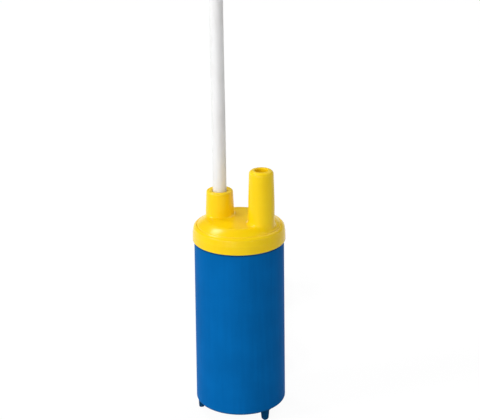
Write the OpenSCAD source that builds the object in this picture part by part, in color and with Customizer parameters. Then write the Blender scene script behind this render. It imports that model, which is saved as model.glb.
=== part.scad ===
// Submersible caravan water pump. A moulded casing on three feet holds a strainer, an impeller and a dry
// motor capsule. The cap carries the hose spigot and the cable gland, and the lead is put away in a hank.
// Millimetres, +Z up. The feet stand on z = 0 and the pump's axis is the z axis.

/* [Casing] */
// Length of the feet below the casing
foot_h = 5; // [3:0.5:8]
// Width of a foot along the casing's edge
foot_w = 3; // [2:0.25:5]
// Thickness of a foot towards the axis
foot_t = 2.1; // [1.6:0.1:3]
// Rounding of the foot's tip
foot_tip_r = 0.8; // [0.4:0.1:0.9]
// Inset of the feet from the casing's outer edge
foot_inset = 1; // [0.5:0.1:1.5]
// Direction of the first foot around the axis
foot_angle = 66; // [0:1:119]
// Height of the casing between its bottom edge and the cap
casing_h = 74; // [73:1:100]
// Wall of the casing below the cap
casing_wall = 1.6; // [1.5:0.1:3]
// Moulding draft, added to the radius at the bottom edge
casing_draft = 0.5; // [0.2:0.1:1]
// Rounding of the casing's bottom edge
casing_edge_r = 1; // [0.3:0.1:1.2]
// Height of the neck inside the cap
neck_h = 5; // [4:0.5:6]
// Wall of the neck
neck_wall = 1.4; // [1.2:0.1:2]
// Step from the casing's side in to the neck
neck_step = 1; // [0.8:0.1:1.4]

/* [Cap] */
// How far the cap stands proud of the casing
cap_proud = 0.7; // [0.4:0.1:1.5]
// Height of the cap's upright skirt
skirt_h = 5.2; // [5:0.2:8]
// Step from the skirt in to the shoulder
ridge_step = 0.3; // [0.2:0.1:0.6]
// Radius of the rounded shoulder
shoulder_r = 3.8; // [3.4:0.1:5]
// Wall of the cap's top
cap_wall = 1.8; // [1.5:0.1:2.2]
// Rounding of the skirt's lower edge
cap_edge_r = 0.5; // [0.2:0.1:0.6]

/* [Hose spigot] */
// Place of the spigot along x
spigot_x = 9.4; // [8:0.2:10]
// Place of the spigot along y
spigot_y = -6.6; // [-7.4:0.2:-5]
// Height of the spigot above the cap
spigot_h = 23.8; // [18:0.2:35]
// Diameter of the straight land that the hose grips
spigot_d = 11; // [9:0.2:12]
// Diameter of the spigot's tip
spigot_tip_d = 10.2; // [8:0.2:10.8]
// Height of the straight land's upper end above the cap
spigot_land_h = 10; // [8:0.5:14]
// Bore of the spigot
spigot_bore_d = 5.6; // [4:0.2:7]
// Rounding of the spigot's rim
spigot_rim_r = 0.8; // [0.3:0.1:1]
// Fillet at the foot of the spigot
spigot_fillet = 1.4; // [0.8:0.1:1.6]

/* [Cable gland] */
// Place of the gland along x
gland_x = -8; // [-8.4:0.2:-7]
// Place of the gland along y
gland_y = 5.6; // [4.6:0.2:6]
// Height of the gland above the cap
gland_h = 11; // [8:0.5:16]
// Diameter of the gland
gland_d = 11.7; // [11:0.1:13]
// Hole of the gland
gland_hole_d = 7; // [6.8:0.1:7.6]
// Rounding of the gland's rim
gland_edge_r = 0.7; // [0.3:0.1:1]
// Fillet at the foot of the gland
gland_fillet = 0.8; // [0.4:0.1:1]
// Depth of the grommet's top below the gland's rim
grommet_recess = 1.4; // [0.5:0.1:3]
// Thickness of the grommet's flange
grommet_flange_t = 0.7; // [0.5:0.1:1]

/* [Inlet] */
// Depth of the strainer above the casing's bottom edge
strainer_recess = 1; // [0.6:0.1:1.5]
// Thickness of the strainer's disc
strainer_t = 1.5; // [1:0.1:2.5]
// Height of the strainer's rim above its disc
strainer_rim_h = 2.6; // [2:0.1:4]
// Width of the strainer's rim
strainer_rim_w = 1.5; // [1:0.1:2.5]
// Width of a slot in the strainer
slot_w = 1.6; // [1:0.1:2]
// Slots in the strainer
slot_count = 14; // [8:1:16]
// Distance of the slots' inner ends from the axis
slot_in_r = 4; // [4:0.5:6]
// Width left between the slots' outer ends and the rim
slot_margin = 1; // [0.6:0.1:2]
// Thickness of the suction plate
suction_plate_t = 1.4; // [1:0.1:2]
// Eye of the suction plate
eye_d = 10; // [8:0.5:14]
// Height of the volute ring
volute_h = 6.5; // [6.2:0.1:8]
// Room between the impeller and the volute ring
volute_gap = 1.5; // [1:0.1:2]
// Width of a notch in the volute ring
notch_w = 5; // [3:0.5:6]
// Height of a notch in the volute ring
notch_h = 3.5; // [2:0.1:4]
// Notches in the volute ring
notch_count = 8; // [6:1:9]

/* [Impeller] */
// Diameter of the impeller
impeller_d = 25; // [22:0.5:25.5]
// Height of the impeller
impeller_h = 3.6; // [3:0.1:4]
// Thickness of the impeller's disc
impeller_disc_t = 0.9; // [0.7:0.1:1.2]
// Thickness of a vane
vane_t = 0.9; // [0.7:0.1:1.4]
// Vanes on the impeller
vane_count = 6; // [4:1:8]
// Bend radius of a vane
vane_bend_r = 9; // [8:0.5:12]
// Diameter of the impeller's hub
impeller_hub_d = 6.4; // [5:0.2:8]
// Running gap under the impeller
impeller_gap = 0.6; // [0.4:0.1:0.8]

/* [Motor] */
// Diameter of the motor can
motor_d = 27.7; // [26:0.1:30]
// Length of the motor can
can_h = 36.4; // [35:0.2:42]
// Sheet thickness of the motor can
can_t = 0.9; // [0.6:0.1:1.2]
// Diameter of the can's bearing boss
can_boss_d = 10; // [8:0.5:12]
// Length of the can's bearing boss
can_boss_h = 1.5; // [1:0.1:1.8]
// Diameter of the motor shaft
shaft_d = 2.3; // [2:0.1:3]
// Length of the shaft inside and below the impeller's hub
shaft_tail = 3.2; // [2:0.1:3.6]
// Diameter of a bearing
bearing_d = 6; // [5:0.2:7]
// Length of a bearing
bearing_h = 3; // [2.4:0.1:3.4]
// Thickness of the motor's end bell above the can
end_bell_h = 2.5; // [1.5:0.1:4]
// Depth of the end bell's plug in the can
end_bell_plug_h = 2; // [1.5:0.1:2.5]
// Wall of the end bell's plug
end_bell_plug_wall = 2; // [1:0.1:2.2]
// Depth of the seat of the magnets and the armature below the can's mouth
works_depth = 35.5; // [34.5:0.1:36]
// Thickness of a magnet
magnet_t = 2.3; // [2:0.1:3]
// Length of a magnet
magnet_h = 26; // [20:0.5:27]
// Angle that one magnet spans
magnet_span = 130; // [90:1:150]
// Height of the magnets above that seat
magnet_lift = 4.5; // [3:0.1:5]
// Sheet thickness of the magnet clip
clip_t = 0.5; // [0.4:0.1:0.8]
// Angle between the magnet clip and each magnet
clip_gap = 1; // [0.5:0.1:2]
// Air gap between the magnets and the armature
air_gap = 0.4; // [0.3:0.05:0.6]
// Length of the armature's core
core_h = 18; // [14:0.5:19]
// Height of the armature's core above that seat
core_lift = 8.5; // [7:0.5:9]
// Thickness of a pole shoe
shoe_t = 2; // [1.5:0.1:2.5]
// Angle that one pole shoe spans
shoe_span = 96; // [80:1:108]
// Width of a pole's neck
pole_w = 4; // [3:0.1:5]
// Diameter of the core's hub
core_hub_d = 6.4; // [5.6:0.1:7]
// Thickness of a winding beside its pole
winding_t = 2; // [1:0.1:2.2]
// Diameter of the commutator
commutator_d = 6; // [5:0.1:7]
// Length of the commutator
commutator_h = 4; // [3.6:0.1:4.6]
// Thickness of a commutator bar
bar_t = 0.7; // [0.5:0.1:0.9]
// Angle between two commutator bars
bar_parting = 12; // [6:1:20]
// Width of a thrust washer
washer_w = 1; // [0.6:0.1:1.2]
// Thickness of a thrust washer
washer_t = 0.5; // [0.3:0.1:0.6]
// Width of a carbon brush
brush_w = 3; // [2:0.1:4]
// Height of a carbon brush
brush_h = 2.6; // [2:0.1:3]
// Length of a carbon brush
brush_l = 2.3; // [1.5:0.1:3]
// Sheet thickness of a brush arm
arm_t = 0.3; // [0.2:0.05:0.5]
// Distance of the terminals from the axis
terminal_r = 8.6; // [7:0.1:9.5]
// Width of a terminal
terminal_w = 2.8; // [2:0.1:4]
// Sheet thickness of a terminal
terminal_t = 0.5; // [0.4:0.1:0.8]
// Height of a terminal above the end bell
terminal_h = 5; // [4.5:0.1:6]
// Diameter of the suppression capacitor
capacitor_d = 6; // [4:0.2:7]
// Thickness of the suppression capacitor
capacitor_t = 2; // [1.5:0.1:3]
// Diameter of a capacitor's leg
capacitor_leg_d = 0.6; // [0.5:0.05:0.8]

/* [Motor capsule] */
// Wall of the capsule
capsule_wall = 1.5; // [1.2:0.1:2]
// Thickness of the capsule's floor
capsule_floor = 2.6; // [2.4:0.1:3.5]
// Gap that the water rises through, round the capsule
water_gap = 2; // [1.5:0.05:3]
// Thickness of a rib that centres the capsule
rib_t = 1.2; // [0.8:0.1:2]
// Ribs round the capsule
rib_count = 4; // [3:1:8]
// Direction of the first rib around the axis
rib_angle = 45; // [0:1:89]
// Room for the wiring above the motor
wiring_h = 11.5; // [10.5:0.5:12.5]
// Thickness of the capsule's lid
lid_t = 2.4; // [2:0.1:3]
// Step of the capsule's mouth for the lid's plug
mouth_step = 0.6; // [0.5:0.05:0.8]
// Depth of the lid's plug in the capsule
lid_plug_h = 2.6; // [2.4:0.1:3]
// Wall of the lid's plug
lid_plug_wall = 2.2; // [2:0.1:3]
// Wall of the lid's cable sleeve
sleeve_wall = 1.3; // [1:0.1:1.4]
// Depth of the cable sleeve in the gland
sleeve_seat_h = 2.5; // [1.5:0.1:3]
// Diameter of the shaft seal
shaft_seal_d = 7; // [5:0.2:8]
// Thickness of the shaft seal
shaft_seal_t = 2; // [1.5:0.1:2.2]
// Wall of the boss round the shaft seal
seal_boss_wall = 1.6; // [1:0.1:2.5]
// Depth of that boss below the capsule's floor
seal_boss_h = 1.6; // [1:0.1:1.7]

/* [Seals and fits] */
// Section of the cap's seal ring
cap_ring_d = 1.2; // [0.9:0.05:1.25]
// Section of the lid's seal ring
lid_ring_d = 1; // [0.9:0.05:1.4]
// Radial clearance of the shaft in its bearings and seal
running_fit = 0.03; // [0.01:0.01:0.1]
// Radial clearance between pieces that slide together
slide_fit = 0.05; // [0.02:0.01:0.1]
// Free room between pieces that must not touch
free_gap = 0.3; // [0.2:0.05:0.4]

/* [Lead] */
// Diameter of the lead
cord_d = 5.8; // [4.5:0.1:6]
// Diameter of one insulated core
core_d = 1.9; // [1.4:0.1:2.2]
// Gap between the two cores where they leave the sheath
core_gap = 0.2; // [0.1:0.05:0.4]
// Diameter of the bare copper of a core
copper_d = 1.1; // [0.8:0.1:1.3]
// Length of the bare copper at the end of the lead
copper_l = 6; // [4:0.5:8]
// Length of the sheath below the strain relief
sheath_tail = 1; // [1:0.1:2.5]
// Length of the strain relief collar
collar_h = 2; // [2:0.1:3.5]
// Wall of the strain relief collar
collar_wall = 1.5; // [1:0.1:2]
// Loops in the hank
hank_loops = 2; // [1:1:3]
// Radius of the hank's turns
hank_turn_r = 17.4; // [15:0.2:20]
// How far the tie draws each run of the hank in
hank_waist = 14.1; // [8:0.1:14.2]
// Width of the tie round the hank
tie_w = 4; // [2:0.5:8]
// Thickness of the tie
tie_t = 0.8; // [0.5:0.1:1]
// Room between the tie and the hank
tie_gap = 0.5; // [0.4:0.05:0.8]

/* [Hidden] */
$fn = 96;

// Overlap that joins two shapes of one piece, and the reach of a cut past a face
join = 0.5;
past = 1;

// Radii, from the motor outwards
motor_r = motor_d / 2;
can_in_r = motor_r - can_t;
capsule_in_r = motor_r + slide_fit;
capsule_r = capsule_in_r + capsule_wall;
bore_r = capsule_r + water_gap;
stack_r = bore_r - slide_fit;
casing_r = bore_r + casing_wall;
bottom_r = casing_r + casing_draft;
neck_r = casing_r - neck_step;
neck_in_r = neck_r - neck_wall;
cap_r = casing_r + cap_proud;
cap_in_r = neck_r + slide_fit;
shoulder_top_r = cap_r - ridge_step - shoulder_r;
shaft_r = shaft_d / 2;
bearing_r = bearing_d / 2;
magnet_r = can_in_r - slide_fit;
magnet_in_r = magnet_r - magnet_t;
core_r = magnet_in_r - air_gap;
shoe_in_r = core_r - shoe_t;
commutator_r = commutator_d / 2;
impeller_r = impeller_d / 2;
seal_r = shaft_seal_d / 2;
cord_r = cord_d / 2;
gland_r = gland_d / 2;
gland_hole_r = gland_hole_d / 2;
sleeve_in_r = cord_r + free_gap;
sleeve_r = sleeve_in_r + sleeve_wall;
mouth_r = capsule_in_r + mouth_step;
lid_plug_r = mouth_r - slide_fit;
core_side = (core_d + core_gap) / 2;

// Heights, from the floor upwards
z_casing = foot_h;
z_strainer = z_casing + strainer_recess;
z_plate = z_strainer + strainer_t + strainer_rim_h;
z_volute = z_plate + suction_plate_t;
z_impeller = z_volute + impeller_gap;
z_capsule = z_volute + volute_h;
z_motor = z_capsule + capsule_floor;
z_can_floor = z_motor + can_t;
z_bell = z_motor + can_h;
z_works = z_bell - works_depth;
z_magnet = z_works + magnet_lift;
z_core = z_works + core_lift;
z_bell_top = z_bell + end_bell_h;
z_lid = z_bell_top + wiring_h;
z_lid_top = z_lid + lid_t;
z_plug = z_lid - lid_plug_h;
z_ledge = z_lid_top + slide_fit;
z_rim = z_casing + casing_h;
z_neck_top = z_rim + neck_h;
z_ridge = z_rim + skirt_h;
z_top = z_ridge + shoulder_r;
z_ceiling = z_top - cap_wall;
z_gland_top = z_top + gland_h;
z_spigot_top = z_top + spigot_h;
z_sleeve_seat = z_ceiling + sleeve_seat_h;
z_collar = z_plug - slide_fit - collar_h;
z_sheath_end = z_collar - sheath_tail;
z_commutator = z_bell - end_bell_plug_h - free_gap - commutator_h;
z_terminal_wire = z_bell_top + terminal_h / 2;

// Route of the lead, from the gland over the top and down to the hank behind the pump
lead_route = [
    [-8, 5.6, 99], [-8, 5.6, 102], [-8, 5.6, 105], [-8, 7.5, 120], [-8.2, 13.5, 145], [-8.4, 22, 170],
    [-8.5, 30, 188], [-8.8, 46, 203], [-9.2, 72, 210], [-9.8, 104, 209], [-10.3, 135, 199], [-10.6, 152, 179],
    [-10.6, 158, 156], [-10.6, 158, 120], [-10.6, 158, 85], [-10.6, 158, 54], [-11.5, 157.5, 34],
    [-13.5, 154, 16.5], [-16, 145, 6], [-17.2, 137, 3.1], [-17.4, 132, 2.9], [-17.4, 129, 2.9],
    [-17.4, 126, 2.9]
];
// Places of the hank's two turns, the straight stub at each of its ends and the level stretch at its tie
hank_near_y = 42;
hank_far_y = 120;
hank_stub = 6;
hank_level = 6;
hank_gap = 0.6;
hank_pitch = cord_d + hank_gap;
hank_lift = tie_t + tie_gap + slide_fit;
hank_run = hank_far_y - hank_near_y;
// Rings along one run and along one turn of the hank, and round one loop
run_rings = 7;
turn_rings = 5;
loop_rings = 2 * run_rings + 2 * turn_rings;
// Half the distance between the stripped cores at their far ends, and the end of the sheath
core_spread = 2.6;
tail_end = [hank_turn_r, hank_far_y + hank_stub, cord_r + hank_pitch * hank_loops];

// A point at share f of a curve that passes through b and c, with a and d as their neighbours
function curve_point(a, b, c, d, f) =
    b + (c - a) * f / 2 + (2 * a - 5 * b + 4 * c - d) * f * f / 2 + (3 * b - a - 3 * c + d) * f * f * f / 2;

// Points of a route with each stretch parted in equal steps
function smooth_route(p, steps) = concat(
    [for (i = [0:len(p) - 2], s = [0:steps - 1])
        curve_point(p[max(i - 1, 0)], p[i], p[i + 1], p[min(i + 2, len(p) - 1)], s / steps)],
    [p[len(p) - 1]]);

function unit(v) = v / norm(v);
function heading(p, i) = unit(p[min(i + 1, len(p) - 1)] - p[max(i - 1, 0)]);

// A ring of corners round point i of a route. The axis side is never along the route.
function ring(p, i, r, sides, side) =
    let (ahead = heading(p, i), across = unit(cross(ahead, side)), rise = cross(across, ahead))
    [for (k = [0:sides - 1]) p[i] + r * (cos(360 * k / sides) * across + sin(360 * k / sides) * rise)];

// A closed round tube along a route
module tube_along(p, d, sides, side) {
    rings = len(p);
    corners = [for (i = [0:rings - 1]) each ring(p, i, d / 2, sides, side)];
    walls = [for (i = [0:rings - 2], k = [0:sides - 1])
        let (a = i * sides + k, b = i * sides + (k + 1) % sides)
        each [[a, b, b + sides], [a, b + sides, a + sides]]];
    first = [for (k = [1:sides - 2]) [0, k + 1, k]];
    last = [for (k = [1:sides - 2]) [for (corner = [0, k, k + 1]) (rings - 1) * sides + corner]];
    polyhedron(corners, concat(walls, first, last));
}

// The part of a corner at the origin that a rounding of radius r takes away
module corner_cut(r) {
    difference() {
        translate([-r, -past]) square([r + past, r + past]);
        translate([-r, r]) circle(r);
    }
}

// A ring of rectangular section
module flat_ring(r_in, r_out, z, h) {
    translate([0, 0, z]) difference() {
        cylinder(r = r_out, h = h);
        translate([0, 0, -past]) cylinder(r = r_in, h = h + 2 * past);
    }
}

// A seal ring of round section
module round_ring(r_mid, d, z) {
    translate([0, 0, z]) rotate_extrude() translate([r_mid, 0]) circle(d / 2);
}

// The outline of a part of a ring that spans the given angle about +X
module ring_part(r_in, r_out, angle) {
    reach = 3 * r_out;
    half = angle / 2;
    intersection() {
        difference() {
            circle(r_out);
            circle(r_in);
        }
        polygon([[0, 0], reach * [cos(half), -sin(half)], [reach, 0], reach * [cos(half), sin(half)]]);
    }
}

module casing() color("#0a63ad") {
    groove = cap_ring_d + slide_fit;
    rotate_extrude() difference() {
        polygon([
            [bore_r, z_casing], [bottom_r, z_casing], [bottom_r, z_casing + casing_edge_r], [casing_r, z_rim],
            [neck_r, z_rim], [neck_r, z_neck_top], [neck_in_r, z_neck_top], [neck_in_r, z_ledge],
            [bore_r, z_ledge]
        ]);
        translate([bottom_r, z_casing]) corner_cut(casing_edge_r);
        translate([neck_r - groove, z_rim + neck_h / 2 - groove / 2]) square([groove + past, groove]);
    }
    foot_top = z_casing + strainer_recess - free_gap;
    foot_r = bottom_r - foot_inset - foot_t;
    for (i = [0:2]) rotate(foot_angle + 120 * i) translate([foot_r, 0, 0])
        rotate([90, 0, 90]) linear_extrude(foot_t) difference() {
            translate([-foot_w / 2, 0]) square([foot_w, foot_top]);
            translate([foot_w / 2, 0]) corner_cut(foot_tip_r);
            mirror([1, 0]) translate([foot_w / 2, 0]) corner_cut(foot_tip_r);
        }
}

// A boss that stands on the cap: side profile with a rounded rim and a fillet at its foot
module boss(r_foot, r_land, r_tip, land_h, h, rim_r, fillet_r) {
    root = shoulder_r / 2;
    rotate_extrude() difference() {
        union() {
            polygon([[0, -root], [r_foot, -root], [r_land, land_h], [r_tip, h], [0, h]]);
            difference() {
                translate([0, -root]) square([r_foot + fillet_r, root + fillet_r]);
                translate([r_foot + fillet_r, fillet_r]) circle(fillet_r);
            }
        }
        translate([r_tip, h]) mirror([0, 1]) corner_cut(rim_r);
    }
}

module top_cap() color("#f6d81f") {
    spigot_r = spigot_d / 2;
    difference() {
        union() {
            rotate_extrude() difference() {
                union() {
                    translate([0, z_rim]) square([cap_r, skirt_h]);
                    translate([0, z_rim]) square([shoulder_top_r, z_top - z_rim]);
                    intersection() {
                        translate([shoulder_top_r, z_ridge]) circle(shoulder_r);
                        translate([0, z_ridge - join]) square([cap_r, shoulder_r + 2 * join]);
                    }
                }
                translate([cap_r, z_rim]) corner_cut(cap_edge_r);
            }
            translate([spigot_x, spigot_y, z_top])
                boss(spigot_r, spigot_r, spigot_tip_d / 2, spigot_land_h, spigot_h, spigot_rim_r,
                    spigot_fillet);
            translate([gland_x, gland_y, z_top])
                boss(gland_r, gland_r, gland_r, gland_h / 2, gland_h, gland_edge_r, gland_fillet);
        }
        translate([0, 0, z_rim - past]) cylinder(r = cap_in_r, h = neck_h + past + slide_fit);
        translate([0, 0, z_rim]) cylinder(r = neck_in_r, h = z_ceiling - z_rim);
        translate([spigot_x, spigot_y, z_ceiling - past])
            cylinder(d = spigot_bore_d, h = spigot_h + past * 4);
        translate([gland_x, gland_y, z_ceiling - past]) cylinder(r = gland_hole_r, h = gland_h + past * 4);
        translate([gland_x, gland_y, z_ceiling - past])
            cylinder(r = sleeve_r + slide_fit, h = sleeve_seat_h + grommet_flange_t + past);
    }
}

module cap_seal_ring() color("#202022")
    round_ring(neck_r - cap_ring_d / 2, cap_ring_d, z_rim + neck_h / 2);

module inlet_strainer() color("#0a63ad") {
    slot_out_r = stack_r - strainer_rim_w - slot_margin;
    difference() {
        union() {
            translate([0, 0, z_strainer]) cylinder(r = stack_r, h = strainer_t);
            flat_ring(stack_r - strainer_rim_w, stack_r, z_strainer, strainer_t + strainer_rim_h);
        }
        for (i = [0:slot_count - 1]) rotate(360 * i / slot_count)
            translate([slot_in_r, -slot_w / 2, z_strainer - past])
                cube([slot_out_r - slot_in_r, slot_w, strainer_t + 2 * past]);
    }
}

module suction_plate() color("#e9e9e6")
    flat_ring(eye_d / 2, stack_r, z_plate, suction_plate_t);

module volute_ring() color("#e9e9e6") {
    notch_reach = capsule_r + water_gap / 2;
    difference() {
        flat_ring(impeller_r + volute_gap, stack_r, z_volute, volute_h);
        for (i = [0:notch_count - 1]) rotate(360 * i / notch_count)
            translate([0, -notch_w / 2, z_capsule - notch_h]) cube([notch_reach, notch_w, notch_h + past]);
    }
}

module motor_capsule() color("#e9e9e6") {
    boss_r = seal_r + slide_fit + seal_boss_wall;
    difference() {
        union() {
            translate([0, 0, z_capsule]) cylinder(r = capsule_r, h = z_lid - z_capsule);
            translate([0, 0, z_capsule - seal_boss_h]) cylinder(r = boss_r, h = seal_boss_h + join);
            intersection() {
                translate([0, 0, z_capsule]) cylinder(r = stack_r, h = z_lid_top - z_capsule);
                for (i = [0:rib_count - 1]) rotate(rib_angle + 360 * i / rib_count)
                    translate([capsule_r - join, -rib_t / 2, z_capsule])
                        cube([water_gap + past, rib_t, z_lid_top - z_capsule]);
            }
        }
        translate([0, 0, z_motor]) cylinder(r = capsule_in_r, h = z_lid - z_motor + past);
        translate([0, 0, z_plug - slide_fit]) cylinder(r = mouth_r, h = lid_plug_h + slide_fit + past);
        translate([0, 0, z_lid]) cylinder(r = capsule_r, h = lid_t + past);
        translate([0, 0, z_motor - can_boss_h - slide_fit])
            cylinder(d = can_boss_d + 2 * slide_fit, h = can_boss_h + past);
        translate([0, 0, z_capsule - seal_boss_h - past])
            cylinder(r = seal_r + slide_fit, h = shaft_seal_t + past);
        translate([0, 0, z_capsule - past]) cylinder(r = shaft_r + free_gap, h = capsule_floor + past);
    }
}

module capsule_lid() color("#e9e9e6") {
    groove = lid_ring_d + slide_fit;
    difference() {
        union() {
            translate([0, 0, z_lid]) cylinder(r = capsule_r - free_gap, h = lid_t);
            rotate_extrude() difference() {
                translate([lid_plug_r - lid_plug_wall, z_plug])
                    square([lid_plug_wall, lid_plug_h + join]);
                translate([lid_plug_r - groove, z_lid - lid_plug_h / 2 - groove / 2])
                    square([groove + past, groove]);
            }
            translate([gland_x, gland_y, z_lid]) cylinder(r = sleeve_r, h = z_sleeve_seat - z_lid);
            intersection() {
                translate([gland_x, gland_y, z_plug]) cylinder(r = sleeve_r, h = lid_plug_h + join);
                translate([0, 0, z_plug])
                    cylinder(r = lid_plug_r - lid_plug_wall + join, h = lid_plug_h + join);
            }
        }
        translate([gland_x, gland_y, z_plug - past])
            cylinder(r = sleeve_in_r, h = z_sleeve_seat - z_plug + 2 * past);
    }
}

module capsule_seal_ring() color("#202022")
    round_ring(lid_plug_r - lid_ring_d / 2, lid_ring_d, z_lid - lid_plug_h / 2);

module shaft_seal() color("#202022")
    flat_ring(shaft_r + running_fit, seal_r, z_capsule - seal_boss_h, shaft_seal_t);

module motor_can() color("#b9bcc0") difference() {
    union() {
        translate([0, 0, z_motor]) cylinder(r = motor_r, h = can_h);
        translate([0, 0, z_motor - can_boss_h]) cylinder(d = can_boss_d, h = can_boss_h + join);
    }
    translate([0, 0, z_can_floor]) cylinder(r = can_in_r, h = can_h);
    translate([0, 0, z_motor - can_boss_h - past]) cylinder(r = bearing_r, h = can_boss_h + can_t + 2 * past);
}

module field_magnets() color("#3a3a3d")
    for (side = [0, 180]) rotate(side) translate([0, 0, z_magnet])
        linear_extrude(magnet_h) ring_part(magnet_in_r, magnet_r, magnet_span);

// A bent strip along the can, with an arm against each magnet, that springs the two magnets apart
module magnet_clip() color("#9a9da2") {
    clip_span = 180 - magnet_span - 2 * clip_gap;
    arm_span = 2 * asin(clip_t / 2 / magnet_in_r);
    rotate(90) translate([0, 0, z_magnet]) linear_extrude(magnet_h) difference() {
        ring_part(magnet_in_r, magnet_r, clip_span);
        ring_part(magnet_in_r - past, magnet_r - clip_t, clip_span - 2 * arm_span);
    }
}

module bearing(z) color("#b08d57")
    flat_ring(shaft_r + running_fit, bearing_r, z, bearing_h);

module lower_bearing() bearing(z_motor - can_boss_h);

module upper_bearing() bearing(z_bell_top - bearing_h);

module motor_end_bell() color("#2b2b2e") difference() {
    union() {
        translate([0, 0, z_bell]) cylinder(r = motor_r, h = end_bell_h);
        flat_ring(can_in_r - end_bell_plug_wall, can_in_r - slide_fit,
            z_bell - end_bell_plug_h, end_bell_plug_h + join);
    }
    translate([0, 0, z_bell - past]) cylinder(r = bearing_r, h = end_bell_h + 2 * past);
}

// Both copper leaves hang from the end bell and press the brushes on the commutator
module brush_arms() color("#c77b4a") {
    arm_x = commutator_r + running_fit + brush_l;
    arm_z = z_commutator + commutator_h / 2 - brush_h / 2;
    for (side = [0, 180]) rotate(side) translate([arm_x, -brush_w / 2, arm_z])
        cube([arm_t, brush_w, z_bell - arm_z]);
}

module carbon_brushes() color("#4a4a4c") {
    brush_z = z_commutator + commutator_h / 2 - brush_h / 2;
    for (side = [0, 180]) rotate(side) difference() {
        translate([0, -brush_w / 2, brush_z]) cube([commutator_r + running_fit + brush_l, brush_w, brush_h]);
        translate([0, 0, brush_z - past]) cylinder(r = commutator_r + running_fit, h = brush_h + 2 * past);
        translate([-past, -brush_w, brush_z - past]) cube([past, 2 * brush_w, brush_h + 2 * past]);
    }
}

module motor_terminals() color("#c9ccd0")
    for (side = [-1, 1]) translate([side * terminal_r - terminal_t / 2, -terminal_w / 2, z_bell_top])
        cube([terminal_t, terminal_w, terminal_h]);

module suppression_capacitor() color("#c9762c") {
    leg_end = terminal_r - terminal_t / 2;
    middle = z_bell_top + free_gap + capacitor_d / 2;
    translate([0, capacitor_t / 2, middle]) rotate([90, 0, 0]) cylinder(d = capacitor_d, h = capacitor_t);
    translate([-leg_end, 0, middle]) rotate([0, 90, 0]) cylinder(d = capacitor_leg_d, h = 2 * leg_end);
}

module cable_grommet() color("#5c5d60") translate([gland_x, gland_y, 0]) difference() {
    union() {
        translate([0, 0, z_sleeve_seat]) cylinder(r = sleeve_r, h = grommet_flange_t);
        translate([0, 0, z_sleeve_seat])
            cylinder(r = gland_hole_r - slide_fit, h = z_gland_top - grommet_recess - z_sleeve_seat);
    }
    translate([0, 0, z_sleeve_seat - past])
        cylinder(r = cord_r + slide_fit, h = z_gland_top - z_sleeve_seat);
}

// A ring under the lid's plug, trimmed where the capsule's wall comes close
module strain_relief_collar() color("#c9ccd0") intersection() {
    translate([gland_x, gland_y, 0])
        flat_ring(cord_r + slide_fit, cord_r + collar_wall, z_collar, collar_h);
    translate([0, 0, z_collar - past]) cylinder(r = capsule_in_r - free_gap, h = collar_h + 2 * past);
}

module lead_inner() color("#f2f2f2") translate([gland_x, gland_y, z_sheath_end])
    cylinder(r = cord_r, h = z_gland_top - z_sheath_end);

// Each core leaves the sheath, bends over and meets the outer face of its terminal
module inner_core_brown() color("#6b3f22") {
    face = terminal_r + terminal_t / 2;
    tube_along(smooth_route([
        [gland_x - core_side, gland_y, z_sheath_end], [gland_x - core_side, gland_y, z_sheath_end - 1],
        [gland_x - core_side, gland_y, z_sheath_end - 2], [-face - 0.65, 5.1, z_terminal_wire + 0.4],
        [-face - 1.65, 4.2, z_terminal_wire], [-face - 2.45, 3, z_terminal_wire],
        [-face - 2.75, 1.7, z_terminal_wire], [-face - 2.35, 0.5, z_terminal_wire],
        [-face - 1.4, 0, z_terminal_wire], [-face - 0.7, 0, z_terminal_wire], [-face, 0, z_terminal_wire]
    ], 2), core_d, 8, [1, 0.5, -1]);
}

module inner_core_blue() color("#2f5fae") {
    face = terminal_r + terminal_t / 2;
    tube_along(smooth_route([
        [gland_x + core_side, gland_y, z_sheath_end], [gland_x + core_side, gland_y, z_sheath_end - 1],
        [gland_x + core_side, gland_y, z_sheath_end - 2], [-6.1, 6, z_terminal_wire + 0.4],
        [-4, 6.5, z_terminal_wire], [-1, 6.8, z_terminal_wire], [2, 6.7, z_terminal_wire],
        [5, 6.2, z_terminal_wire], [7.6, 5.4, z_terminal_wire], [face + 0.75, 4.3, z_terminal_wire],
        [face + 2.1, 3, z_terminal_wire], [face + 2.65, 1.7, z_terminal_wire],
        [face + 2.35, 0.5, z_terminal_wire], [face + 1.4, 0, z_terminal_wire],
        [face + 0.7, 0, z_terminal_wire], [face, 0, z_terminal_wire]
    ], 2), core_d, 8, [-1, 0.5, -1]);
}

module motor_shaft() color("#d4d6da")
    translate([0, 0, z_impeller + impeller_h - shaft_tail])
        cylinder(r = shaft_r, h = z_bell_top - free_gap - (z_impeller + impeller_h - shaft_tail));

module armature_core() color("#8f9297")
    translate([0, 0, z_core]) linear_extrude(core_h) difference() {
        union() {
            circle(d = core_hub_d);
            for (i = [0:2]) rotate(120 * i) {
                translate([0, -pole_w / 2]) square([shoe_in_r + join, pole_w]);
                ring_part(shoe_in_r, core_r, shoe_span);
            }
        }
        circle(shaft_r);
    }

// One closed coil round each pole, between the core's hub and the pole shoe
module armature_windings() color("#b5653a") {
    end_turn = winding_t;
    inner = core_hub_d / 2 + free_gap;
    outer = sqrt(pow(shoe_in_r - free_gap, 2) - pow(pole_w / 2 + winding_t, 2));
    for (i = [0:2]) rotate(120 * i) difference() {
        translate([inner, -pole_w / 2 - winding_t, z_core - end_turn])
            cube([outer - inner, pole_w + 2 * winding_t, core_h + 2 * end_turn]);
        translate([inner - past, -pole_w / 2, z_core]) cube([outer - inner + 2 * past, pole_w, core_h]);
    }
}

module commutator_hub() color("#6a3b25")
    flat_ring(shaft_r, commutator_r - bar_t, z_commutator, commutator_h);

module commutator_bars() color("#c77b4a") {
    for (i = [0:2]) rotate(60 + 120 * i) translate([0, 0, z_commutator])
        linear_extrude(commutator_h) ring_part(commutator_r - bar_t, commutator_r, 120 - bar_parting);
}

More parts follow.
